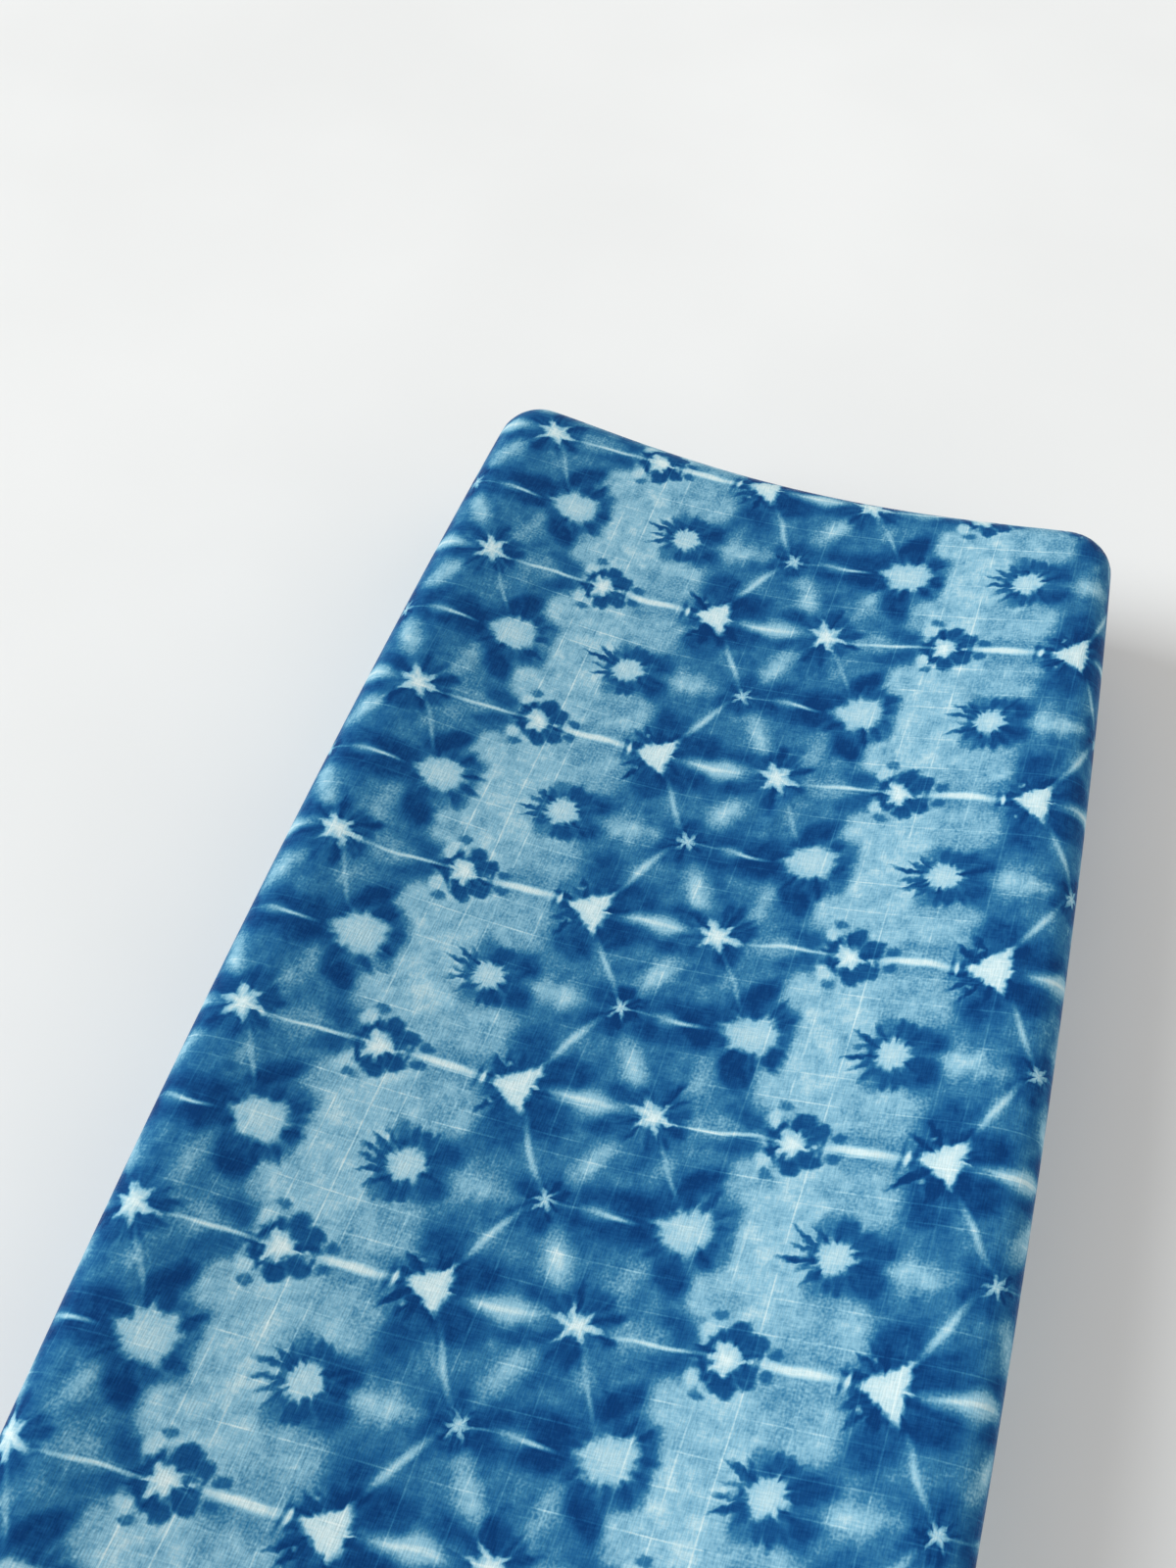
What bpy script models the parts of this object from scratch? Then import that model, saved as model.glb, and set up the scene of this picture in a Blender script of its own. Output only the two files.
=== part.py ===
"""A dyed cotton cover fitted over a contoured changing pad.

The pad is one foam block with two raised long sides and a trough between them.
The cover is one piece of cloth drawn over the pad, down its walls and under its
base, where its hem leaves an oblong opening. Metres, +Z up, the origin on the
surface that the cover rests on, at the middle of its outline. +Y runs along the
pad to its far end and +X to the right.
"""

from math import cos, pi, radians, sin

import bmesh
import bpy

# Driving sizes of the foam pad
PAD_WIDTH = 0.4064
PAD_LENGTH = 0.8128
CREST_HEIGHT = 0.1000
TROUGH_DEPTH = 0.0300
END_DEPTH_SHARE = 0.55
END_EASE_LENGTH = 0.220
CREST_INSET = 0.0250
TROUGH_POWER = 1.2
CORNER_RADIUS = 0.0250
TOP_EDGE_RADIUS = 0.0165
BASE_EDGE_RADIUS = 0.0120
# How far the long sides are drawn in at the corners, and how far the walls swell
SIDE_BOW = 0.0110
WALL_BULGE = 0.0025

# Driving sizes of the cloth
CLOTH = 0.0020
GAP = 0.0003
HEM_REACH = 0.0520
HEM_CORNER_RADIUS = 0.0600

# Plain colours and roughness of the two materials
PAD_COLOUR = (0.86, 0.85, 0.81)
PAD_ROUGHNESS = 0.55
CLOTH_COLOUR = (0.075, 0.30, 0.52)
CLOTH_ROUGHNESS = 0.88

# Points along a long side, along an end and round a quarter of a corner or an edge
SIDE_STEPS = 20
END_STEPS = 14
CORNER_STEPS = 5
TOP_ARC_STEPS = 4
BASE_ARC_STEPS = 2
# Shares of a wall's height between its two rounded edges
WALL_SHARES = (0.33, 0.67)
# Shares of the way from the middle line out to the crest, outermost first
TOP_SHARES = (0.92, 0.82, 0.70, 0.56, 0.40, 0.22)

# The four corners in the order of the outline: side of X, side of Y, first angle
CORNERS = (
    (1, 1, 0),
    (-1, 1, 90),
    (-1, -1, 180),
    (1, -1, 270),
)

HALF_WIDTH = PAD_WIDTH / 2
HALF_LENGTH = PAD_LENGTH / 2
BASE_LEVEL = CLOTH + GAP
CREST_LEVEL = BASE_LEVEL + CREST_HEIGHT
SHARP_ANGLE = radians(50)


def half_width(y):
    """Half the pad's width at y: it bows a little between its drawn-in corners."""
    along = min(abs(y) / HALF_LENGTH, 1.0)
    return HALF_WIDTH - SIDE_BOW * along * along


def top_level(x, y):
    """Height of the pad's top at a place, crests and trough together."""
    from_ease = (abs(y) - (HALF_LENGTH - END_EASE_LENGTH)) / END_EASE_LENGTH
    ease = min(max(from_ease, 0.0), 1.0) ** 2
    depth = TROUGH_DEPTH * (1 - ease * (1 - END_DEPTH_SHARE))
    across = min(abs(x) / (half_width(y) - CREST_INSET), 1.0)
    return CREST_LEVEL - depth * (1 - across * across) ** TROUGH_POWER


def outline(inset, radius):
    """Points round the pad, anticlockwise from its right side, this far inside its edge."""
    wide = HALF_WIDTH - inset
    long = HALF_LENGTH - inset
    arcs = []
    for side_x, side_y, first_angle in CORNERS:
        centre_x = side_x * (wide - radius)
        centre_y = side_y * (long - radius)
        angles = [radians(first_angle + 90 * k / CORNER_STEPS) for k in range(CORNER_STEPS + 1)]
        arcs.append([(centre_x + radius * cos(a), centre_y + radius * sin(a)) for a in angles])
    points = []
    for arc, following, steps in zip(arcs, arcs[1:] + arcs[:1], (END_STEPS, SIDE_STEPS) * 2):
        points += arc
        (x0, y0), (x1, y1) = arc[-1], following[0]
        points += [(x0 + (x1 - x0) * k / steps, y0 + (y1 - y0) * k / steps) for k in range(1, steps)]
    return [(x * half_width(y) / HALF_WIDTH, y) for x, y in points]


def crest_points():
    """Points along the inner limit of the rounded top edge, from which the top is spread inwards."""
    return outline(TOP_EDGE_RADIUS, CORNER_RADIUS - TOP_EDGE_RADIUS)


def wall_rows(offset):
    """Rows of a wall from base to crest: inset, share of the straight wall, lift in the arcs."""
    rows = []
    base_radius = BASE_EDGE_RADIUS + offset
    for k in range(BASE_ARC_STEPS + 1):
        angle = pi / 2 * k / BASE_ARC_STEPS
        rows.append((BASE_EDGE_RADIUS - base_radius * sin(angle), 0.0, -base_radius * cos(angle)))
    for share in WALL_SHARES:
        rows.append((-offset - WALL_BULGE * sin(pi * share), share, 0.0))
    top_radius = TOP_EDGE_RADIUS + offset
    for k in range(TOP_ARC_STEPS + 1):
        angle = pi / 2 * k / TOP_ARC_STEPS
        rows.append((TOP_EDGE_RADIUS - top_radius * cos(angle), 1.0, top_radius * sin(angle)))
    return rows


def wall_rings(offset):
    """Rings of points up the walls of a skin that lies this far outside the pad."""
    foot = BASE_LEVEL + BASE_EDGE_RADIUS
    heads = [top_level(x, y) - TOP_EDGE_RADIUS for x, y in crest_points()]
    rings = []
    for inset, share, lift in wall_rows(offset):
        points = outline(inset, CORNER_RADIUS - inset)
        rings.append([(x, y, foot + share * (head - foot) + lift) for (x, y), head in zip(points, heads)])
    return rings


def top_rings(offset):
    """Rings across the top of a skin, from just inside the crest to the middle line."""
    reach = HALF_LENGTH - HALF_WIDTH
    rings = []
    for share in TOP_SHARES + (0.0,):
        ring = []
        for edge_x, edge_y in crest_points():
            core_y = min(max(edge_y, -reach), reach)
            x = share * edge_x
            y = core_y + share * (edge_y - core_y)
            ring.append((x, y, top_level(x, y) + offset))
        rings.append(ring)
    return rings


def add_ring(mesh, points):
    """One vertex a point, shared where points fall together."""
    made = {}
    ring = []
    for point in points:
        key = tuple(round(value, 6) for value in point)
        if key not in made:
            made[key] = mesh.verts.new(point)
        ring.append(made[key])
    return ring


def add_band(mesh, lower, upper, outward):
    """Two triangles between each pair of neighbours, split the same way on every skin."""
    for k in range(len(lower)):
        following = (k + 1) % len(lower)
        for corners in (
            (lower[k], lower[following], upper[following]),
            (lower[k], upper[following], upper[k]),
        ):
            if len(set(corners)) == len(corners):
                mesh.faces.new(corners if outward else corners[::-1])


def add_skin(mesh, rings, outward):
    """Bands through all the rings in turn; gives back the first ring's vertices."""
    made = [add_ring(mesh, points) for points in rings]
    for lower, upper in zip(made, made[1:]):
        add_band(mesh, lower, upper, outward)
    return made[0]


def add_object(name, mesh, material):
    """Turns a finished mesh into a smooth-shaded object."""
    data = bpy.data.meshes.new(name)
    mesh.to_mesh(data)
    mesh.free()
    data.shade_smooth()
    data.set_sharp_from_angle(angle=SHARP_ANGLE)
    data.materials.append(material)
    bpy.context.scene.collection.objects.link(bpy.data.objects.new(name, data))


def make_material(name, colour, roughness):
    material = bpy.data.materials.new(name)
    material.use_nodes = True
    shader = material.node_tree.nodes["Principled BSDF"]
    shader.inputs["Base Color"].default_value = (*colour, 1.0)
    shader.inputs["Roughness"].default_value = roughness
    return material


def build_pad():
    """The foam block: flat base, upright walls, two crests and the trough between them."""
    mesh = bmesh.new()
    base = add_skin(mesh, wall_rings(0.0) + top_rings(0.0), True)
    mesh.faces.new(base[::-1])
    add_object("pad", mesh, make_material("pad_surface", PAD_COLOUR, PAD_ROUGHNESS))


def build_cover():
    """The cloth: an outer and an inner skin a cloth's thickness apart, joined round the hem."""
    mesh = bmesh.new()
    hems = []
    for offset, outward in ((GAP + CLOTH, True), (GAP, False)):
        hem = [(x, y, BASE_LEVEL - offset) for x, y in outline(HEM_REACH, HEM_CORNER_RADIUS)]
        hems.append(add_skin(mesh, [hem] + wall_rings(offset) + top_rings(offset), outward))
    outer_hem, inner_hem = hems
    add_band(mesh, inner_hem, outer_hem, True)
    add_object("cover", mesh, make_material("dyed_muslin", CLOTH_COLOUR, CLOTH_ROUGHNESS))


def main():
    for thing in list(bpy.data.objects):
        bpy.data.objects.remove(thing)
    build_pad()
    build_cover()


main()
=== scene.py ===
"""Looks for the dyed muslin cover on its contoured changing pad. Metres, in the CAD's own frame."""

from math import cos, pi, radians, sin

import bpy
import numpy as np
from mathutils import Matrix, Vector


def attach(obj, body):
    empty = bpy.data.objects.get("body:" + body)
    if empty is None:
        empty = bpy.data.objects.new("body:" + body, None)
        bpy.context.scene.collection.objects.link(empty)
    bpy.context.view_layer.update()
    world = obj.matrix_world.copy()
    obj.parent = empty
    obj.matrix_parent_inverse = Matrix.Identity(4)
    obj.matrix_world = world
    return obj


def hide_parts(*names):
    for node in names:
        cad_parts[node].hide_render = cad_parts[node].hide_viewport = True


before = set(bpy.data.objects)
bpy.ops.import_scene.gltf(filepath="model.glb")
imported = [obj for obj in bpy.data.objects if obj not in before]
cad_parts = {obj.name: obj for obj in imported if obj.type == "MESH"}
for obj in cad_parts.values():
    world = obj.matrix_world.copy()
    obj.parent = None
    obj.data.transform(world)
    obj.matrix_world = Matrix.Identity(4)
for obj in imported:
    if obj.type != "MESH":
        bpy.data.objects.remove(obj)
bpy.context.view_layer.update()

# Sizes of the pad and the cover, the same as the solids have
PAD_WIDTH = 0.4064
PAD_LENGTH = 0.8128
CREST_HEIGHT = 0.1000
TROUGH_DEPTH = 0.0300
END_DEPTH_SHARE = 0.55
END_EASE_LENGTH = 0.220
CREST_INSET = 0.0250
TROUGH_POWER = 1.2
CORNER_RADIUS = 0.0250
TOP_EDGE_RADIUS = 0.0165
BASE_EDGE_RADIUS = 0.0120
SIDE_BOW = 0.0110
WALL_BULGE = 0.0025
CLOTH = 0.0020
GAP = 0.0003
HEM_REACH = 0.0520
HEM_CORNER_RADIUS = 0.0600

HALF_WIDTH = PAD_WIDTH / 2
HALF_LENGTH = PAD_LENGTH / 2
BASE_LEVEL = CLOTH + GAP
CREST_LEVEL = BASE_LEVEL + CREST_HEIGHT

# The dyed repeat is charted in steps: the distance from one motif to the next across the cloth
STEP = 0.06834
ROW_PITCH = 1.533
# How the repeat lies on the pad: turned, sheared and shifted, in steps, as cut and fitted
CLOTH_TURN = radians(4.264)
CLOTH_SHEAR = 0.1314
CLOTH_SHIFT = -0.0778
CLOTH_MIDDLE = 2.5
ROW_THREE_Y = 0.0816

# The photograph's camera: focal length in pixels of its 1600-pixel height, place in metres, angles
FOCAL_PIXELS = 1490
IMAGE_HEIGHT = 1600
SENSOR_MM = 36
CAMERA_PLACE = (0.0577, -0.2674, 0.7629)
CAMERA_AZIMUTH = radians(-16.167)
CAMERA_ELEVATION = radians(57.529)
CAMERA_ROLL = radians(-1.453)

# Light: the even studio, then daylight and a weak fill, each with the way that it comes from,
# its spread in degrees, its strength and its colour
STUDIO_STRENGTH = 0.60
STUDIO_COLOUR = (1.0, 0.975, 0.93)
LIGHTS = {
    "daylight": ((-1.9, -0.5, 1.35), 35, 2.70, (0.91, 0.97, 1.0)),
    "fill": ((1.9, 0.7, 1.2), 60, 0.50, (0.97, 0.98, 1.0)),
}

# The thin sheet: how high it clears the floor, and how far it stands off the pad's surface
FLOOR_CLEAR = 0.0004
SHEET_OFFSET = CLOTH + GAP - FLOOR_CLEAR

# The hem: elastic runs in a casing, a turned edge that is rolled round it
CASING_WIDTH = 0.0090
ROLL_RADIUS = 0.00060
HEM_STITCH_LINE = 0.0075
STITCH_PITCH = 0.0034
STITCH_HALF_WIDTH = 0.00045
# Where a stitch fades out, in shares of the pitch from its middle
STITCH_ENDS = (0.30, 0.42)
# Its gathers: waves round the hem, their phases and weights, how far they lift and draw it, and
# the shares of the reach under the base between which they rise
HEM_WAVES = (
    (151, 0.4, 1.0),
    (118, 2.6, 0.8),
    (89, 4.5, 0.6),
    (37, 1.2, 0.4),
)
HEM_LIFT = 0.00055
HEM_DRAW = 0.0016
GATHER_RISE = (0.15, 0.85)

# Slack folds near the foot of the walls, in the same way, with more of them by the corners
WALL_WAVES = (
    (61, 0.9, 1.0),
    (43, 2.0, 0.8),
    (83, 4.4, 0.6),
    (19, 3.1, 0.5),
)
WALL_FOLD = 0.00065
CORNER_FOLD_REACH = 0.055
# Share of the drop at which they start, and their share away from the corners
WALL_FOLD_START = 0.40
WALL_FOLD_SHARE = 0.5

# The seam down each corner: where it starts below the crest, its groove and its puckers
SEAM_TOP = 0.024
SEAM_FULL = 0.034
SEAM_GROOVE = 0.0009
SEAM_HALF_WIDTH = 0.0012
PUCKER_LIFT = 0.0004
PUCKER_PITCH = 0.0105
PUCKER_REACH = 0.007
PUCKER_DRIFT = 2.0

# Creases of the top: how far they bend, in half widths, and where they rise and fade along them.
# Then each, in the chart's steps: both ends, and half width and height in metres
CREASE_BEND = 0.25
CREASE_START = (-0.15, 0.35)
CREASE_END = (0.6, 1.15)
CREASE_COLUMNS = "across away to_across to_away half_width height"
CREASES = (
    (3.28, 1.58, 3.00, 0.95, 0.0050, 0.0010),
    (3.13, 1.45, 2.93, 1.02, 0.0040, -0.0006),
    (0.30, 2.95, 0.62, 2.40, 0.0045, 0.0007),
    (0.15, 2.10, 0.55, 1.75, 0.0045, -0.0007),
    (0.05, 1.20, 0.40, 1.02, 0.0040, 0.0006),
    (0.10, -0.55, 0.45, -0.75, 0.0040, -0.0006),
    (1.05, -0.95, 1.55, -1.05, 0.0045, 0.0007),
    (1.10, -1.08, 1.62, -1.22, 0.0040, -0.0006),
    (1.60, 0.30, 2.05, 0.42, 0.0050, 0.0006),
    (1.75, -2.10, 2.30, -2.35, 0.0050, 0.0007),
    (2.10, 3.20, 2.75, 3.30, 0.0045, 0.0006),
    (4.20, 2.80, 4.55, 2.35, 0.0045, -0.0007),
    (4.70, 1.90, 4.95, 1.30, 0.0045, 0.0007),
    (4.60, 0.20, 4.85, -0.40, 0.0045, -0.0007),
    (4.35, -1.30, 4.70, -1.85, 0.0050, 0.0008),
    (3.30, -0.60, 3.75, -0.90, 0.0045, -0.0006),
    (3.55, -2.60, 4.10, -2.85, 0.0050, 0.0007),
    (0.60, -3.20, 1.20, -3.45, 0.0050, -0.0007),
    (2.62, 4.02, 3.22, 4.03, 0.0036, -0.0006),
    (2.75, 3.76, 3.27, 3.78, 0.0036, 0.0006),
    (2.78, 3.60, 3.32, 3.62, 0.0036, -0.0006),
)

# Cells of the cloth's mesh along an end, along a side and round half a corner, and down it
END_CELLS = 130
SIDE_CELLS = 280
HALF_CORNER_CELLS = 7
# How closely the stations crowd towards a corner's seam
CORNER_CLUSTER = 1.6
TOP_ARC_ROWS = 8
WALL_CELLS = 16
BASE_ARC_ROWS = 4
UNDER_ROWS = 7

# Cells of the pad's mesh
PAD_END_CELLS = 54
PAD_SIDE_CELLS = 116


# Half the repeat along the cloth, its width across, and where the window on it starts
HALF_ROW = ROW_PITCH / 2
REPEAT = 3.0
WINDOW_START = -0.27
GROUND_TONE = 0.66

# The dye strokes lie in one of three ways on the repeat: mirrored about each row of stars, on such
# a row, or on the row half way between two. Tones run from 0, undyed, to 1, the deepest blue.
STROKE_COLUMNS = "lies across away half_length half_width turn softness tone strength"

# Broad pale and dark areas
GROUND = (
    ("mirrored", 1.08, 0.40, 0.275, 3.0, 0, 0.14, 0.27, 0.95),
    ("mirrored", 0.80, 0.36, 0.20, 0.17, 0, 0.25, 0.31, 0.95),
    ("mirrored", 1.55, 0.32, 0.31, 0.22, 0, 0.25, 0.36, 0.95),
    ("mirrored", 1.50, 0.0, 0.30, 0.14, 0, 0.4, 0.43, 0.9),
    ("mirrored", 0.42, 0.04, 0.17, 0.07, 0, 0.7, 0.44, 0.8),
    ("mirrored", 0.30, 0.22, 0.22, 0.10, 0, 0.8, 0.60, 0.6),
    ("mirrored", 0.46, 0.44, 0.19, 0.095, -42, 0.45, 1.0, 0.95),
    ("mirrored", 0.14, 0.70, 0.20, 0.12, 0, 0.6, 1.0, 0.9),
    ("mirrored", 0.62, 0.12, 0.12, 0.06, -20, 0.6, 0.84, 0.8),
    ("mirrored", 2.28, 0.17, 0.20, 0.14, 0, 0.5, 0.94, 0.9),
    ("mirrored", 2.72, 0.16, 0.19, 0.07, 10, 0.6, 0.90, 0.85),
    ("mirrored", 2.00, 0.32, 0.17, 0.14, 0, 0.6, 0.90, 0.85),
    ("mirrored", 1.72, 0.69, 0.13, 0.13, 0, 0.5, 0.95, 0.9),
    ("mirrored", 2.36, 0.69, 0.08, 0.14, 0, 0.6, 0.92, 0.85),
    ("mirrored", 2.53, 0.61, 0.08, 0.07, 0, 0.5, 0.96, 0.85),
    ("mirrored", 2.85, 0.69, 0.24, 0.11, 0, 0.6, 0.93, 0.85),
    ("mirrored", 2.95, 0.30, 0.10, 0.16, 0, 0.7, 0.74, 0.7),
    ("mirrored", 2.02, HALF_ROW, 0.24, 0.06, 0, 0.95, 0.27, 0.85),
    ("mirrored", 1.94, HALF_ROW, 0.065, 0.13, 0, 0.95, 0.27, 0.8),
    ("mirrored", 2.08, HALF_ROW, 0.055, 0.11, 0, 0.95, 0.25, 0.8),
    ("between", 2.705, 0.37, 0.19, 0.085, 56, 0.85, 0.26, 0.92),
    ("between", 2.735, -0.38, 0.20, 0.080, -58, 0.85, 0.24, 0.92),
    ("between", 0.20, 0.41, 0.05, 0.07, -20, 0.9, 0.38, 0.75),
    ("between", 0.25, -0.385, 0.19, 0.07, 78, 0.9, 0.36, 0.85),
    ("between", 2.27, 0.30, 0.18, 0.05, -59, 0.9, 0.52, 0.7),
    ("between", 2.25, -0.32, 0.18, 0.05, 59, 0.9, 0.45, 0.75),
)

# Lobes, beads and pale spots round the tied places
MARKS = (
    ("mirrored", 1.04, 0.18, 0.075, 0.062, 20, 0.35, 0.90, 0.9),
    ("mirrored", 1.165, 0.118, 0.07, 0.056, 0, 0.35, 0.88, 0.9),
    ("mirrored", 1.295, 0.074, 0.05, 0.04, 0, 0.45, 0.79, 0.85),
    ("mirrored", 0.89, 0.262, 0.05, 0.034, 0, 0.5, 0.75, 0.8),
    ("mirrored", 0.83, 0.168, 0.05, 0.055, 0, 0.5, 0.19, 0.85),
    ("mirrored", 0.71, 0.088, 0.06, 0.048, 0, 0.6, 0.83, 0.8),
    ("mirrored", 1.29, HALF_ROW, 0.03, 0.03, 0, 0.6, 0.24, 0.7),
    ("mirrored", 1.42, 0.54, 0.08, 0.06, 0, 0.6, 0.63, 0.7),
    ("mirrored", 1.50, 0.55, 0.03, 0.06, 0, 0.5, 0.88, 0.85),
    ("mirrored", 1.575, 0.56, 0.035, 0.058, -20, 0.5, 0.88, 0.85),
    ("mirrored", 1.888, 0.155, 0.018, 0.018, 0, 0.7, 0.30, 0.7),
)

# Pleat stripes, then the undyed lines, spots and streaks along the stitched folds
LINES = (
    ("mirrored", 0.88, 0.085, 0.085, 0.016, 60, 0.8, 0.95, 0.85),
    ("mirrored", 1.205, 0.03, 0.014, 0.09, 0, 0.8, 0.88, 0.75),
    ("mirrored", 1.727, 0.0, 0.014, 0.09, 0, 0.8, 0.88, 0.8),
    ("mirrored", 1.808, 0.0, 0.013, 0.07, 0, 0.8, 0.90, 0.8),
    ("on_row", 1.47, 0.0, 0.24, 0.032, 0, 0.7, 0.06, 1.0),
    ("on_row", 1.767, 0.0, 0.016, 0.052, 0, 0.6, 0.08, 0.9),
    ("on_row", 1.155, 0.0, 0.022, 0.014, 0, 0.7, 0.18, 0.8),
    ("on_row", 2.53, 0.0, 0.24, 0.055, 0, 0.9, 0.20, 0.95),
    ("on_row", 2.57, 0.0, 0.10, 0.10, 0, 0.7, 0.25, 0.8),
    ("on_row", 2.50, 0.0, 0.17, 0.016, 0, 0.95, 0.08, 0.8),
    ("on_row", 0.56, -0.015, 0.27, 0.015, 3, 0.9, 0.10, 0.9),
    ("between", 2.97, 0.0, 0.15, 0.016, -4, 0.9, 0.08, 0.9),
    ("between", 2.87, 0.0, 0.09, 0.045, 0, 1.0, 0.36, 0.7),
    ("between", 2.66, 0.0, 0.16, 0.008, 0, 0.9, 0.42, 0.6),
    ("between", 2.30, 0.31, 0.17, 0.021, -60, 1.0, 0.20, 0.85),
    ("between", 2.26, -0.32, 0.18, 0.025, 60, 1.0, 0.16, 0.88),
    ("between", 0.25, 0.36, 0.13, 0.016, -60, 1.0, 0.30, 0.7),
    ("mirrored", 0.18, 0.27, 0.14, 0.014, 62, 1.0, 0.38, 0.5),
)

# Tied motifs: the tone of the dark ring, then of the resist at its middle and its edge, and at each
# angle how far the undyed middle and the dark ring reach
STAR = (
    (0.87, 0.03, 0.36),
    (
        (-12, 0.235, 0.25), (3, 0.12, 0.25), (18, 0.095, 0.28), (30, 0.10, 0.27), (47, 0.165, 0.23),
        (62, 0.11, 0.26), (85, 0.09, 0.27), (105, 0.115, 0.25), (123, 0.19, 0.21), (138, 0.12, 0.26),
        (150, 0.11, 0.28), (165, 0.19, 0.23), (180, 0.12, 0.26), (198, 0.09, 0.27), (213, 0.115, 0.27),
        (229, 0.175, 0.23), (245, 0.11, 0.26), (265, 0.09, 0.28), (283, 0.115, 0.29), (300, 0.185, 0.24),
        (315, 0.11, 0.27), (332, 0.11, 0.27),
    ),
)
ROSETTE = (
    (0.88, 0.02, 0.30),
    (
        (0, 0.10, 0.20), (30, 0.09, 0.20), (60, 0.09, 0.20), (90, 0.10, 0.18), (115, 0.115, 0.18),
        (134, 0.175, 0.17), (150, 0.12, 0.18), (165, 0.10, 0.20), (180, 0.14, 0.21), (195, 0.10, 0.20),
        (215, 0.11, 0.19), (232, 0.17, 0.18), (248, 0.11, 0.18), (265, 0.105, 0.18), (282, 0.155, 0.18),
        (297, 0.10, 0.18), (320, 0.09, 0.20), (340, 0.095, 0.20), (354, 0.15, 0.20),
    ),
)
FAN = (
    (0.92, 0.05, 0.17),
    (
        (0, 0.185, 0.22), (7, 0.135, 0.24), (30, 0.15, 0.25), (50, 0.195, 0.27), (61, 0.24, 0.27),
        (70, 0.18, 0.24), (84, 0.14, 0.20), (100, 0.125, 0.26), (111, 0.11, 0.18), (122, 0.115, 0.30),
        (133, 0.11, 0.19), (144, 0.12, 0.30), (156, 0.13, 0.18), (168, 0.155, 0.25), (180, 0.18, 0.19),
        (192, 0.155, 0.25), (204, 0.13, 0.18), (216, 0.12, 0.30), (227, 0.11, 0.19), (238, 0.115, 0.30),
        (249, 0.11, 0.18), (260, 0.125, 0.26), (276, 0.14, 0.20), (290, 0.18, 0.24), (300, 0.24, 0.27),
        (311, 0.19, 0.27), (330, 0.15, 0.25), (353, 0.135, 0.24),
    ),
)
BLOB = (
    (0.85, 0.18, 0.28),
    (
        (0, 0.195, 0.25), (12, 0.19, 0.29), (24, 0.195, 0.25), (38, 0.205, 0.30), (50, 0.205, 0.26),
        (63, 0.185, 0.29), (78, 0.17, 0.25), (95, 0.17, 0.28), (112, 0.175, 0.24), (128, 0.19, 0.27),
        (145, 0.195, 0.25), (162, 0.205, 0.28), (175, 0.26, 0.27), (188, 0.21, 0.26), (205, 0.185, 0.25),
        (222, 0.185, 0.28), (238, 0.18, 0.25), (254, 0.17, 0.29), (268, 0.165, 0.26), (282, 0.17, 0.31),
        (296, 0.185, 0.27), (310, 0.20, 0.31), (324, 0.195, 0.26), (338, 0.19, 0.29), (350, 0.195, 0.25),
    ),
)
WHEEL = (
    (0.83, 0.17, 0.26),
    (
        (0, 0.165, 0.27), (14, 0.12, 0.22), (27, 0.15, 0.29), (40, 0.12, 0.24), (54, 0.15, 0.28),
        (69, 0.12, 0.19), (82, 0.14, 0.25), (95, 0.12, 0.18), (108, 0.148, 0.25), (121, 0.12, 0.18),
        (133, 0.15, 0.28), (143, 0.12, 0.17), (152, 0.145, 0.31), (161, 0.12, 0.18), (170, 0.14, 0.33),
        (179, 0.125, 0.19), (188, 0.14, 0.31), (197, 0.12, 0.18), (206, 0.15, 0.30), (217, 0.12, 0.18),
        (229, 0.145, 0.27), (242, 0.12, 0.18), (256, 0.15, 0.25), (270, 0.125, 0.18), (284, 0.145, 0.26),
        (298, 0.12, 0.22), (315, 0.15, 0.29), (332, 0.12, 0.23), (346, 0.15, 0.27),
    ),
)
SMALL_STAR = (
    (0.90, 0.16, 0.52),
    (
        (0, 0.10, 0.13), (30, 0.038, 0.14), (60, 0.10, 0.14), (90, 0.038, 0.15), (123, 0.11, 0.13),
        (150, 0.038, 0.15), (185, 0.10, 0.14), (210, 0.038, 0.15), (233, 0.12, 0.13), (265, 0.038, 0.15),
        (302, 0.11, 0.14), (332, 0.038, 0.13),
    ),
)
# The motifs of each row, a step apart, and where the first one lies across
MOTIF_ROWS = {
    "on_row": (0.0, (STAR, ROSETTE, FAN)),
    "between": (0.5, (BLOB, WHEEL, SMALL_STAR)),
}
# How closely the pleats of the tying lie round a motif, how they differ from one motif to the
# next, and how much they move its ring and its tone
PLEAT_COUNT = 2.4
PLEAT_DETAIL = 1.0
PLEAT_CHANGE = 1.3
PLEAT_REACH = 0.75
PLEAT_TONE = 0.6
MIDDLE_CHANGE = -0.35
# How the ring and the middle fade out: shares of their reach from and to, full and last cover
RING_FADE = (0.80, 1.20, 0.9, 0.0)
MIDDLE_FADE = (0.70, 1.14, 1.0, 0.0)

# Noise that moves the dye about: its scale in waves a step, its detail and how far, in steps
DRIFT = (1.9, 1.0, 0.085)
FEATHER = (16.0, 1.0, 0.05)
# Mottling, speckle at the verges of the pale areas, thread grain and thicker threads: scale or
# fineness and length of the noise, detail, and what it adds to the tone
MOTTLE_NOISE = (5.0, 4.0, 0.68)
MOTTLE_TONE = 0.55
SPECKLE_NOISE = (52.0, 0.0)
SPECKLE_TONE = 0.26
SPECKLE_FROM = (0.28, 0.46)
SPECKLE_TO = (0.54, 0.74)
GRAIN_NOISE = (70.0, 11.0, 1.0)
GRAIN_TONE = 0.14
THREAD_TONE = -0.18
STITCH_TONE = 0.80
# The thicker threads both ways: steps from one to the next, half width in steps, first number
LONG_THREADS = (0.31, 0.010, 3.7)
CROSS_THREADS = (0.275, 0.010, 71.3)
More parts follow.
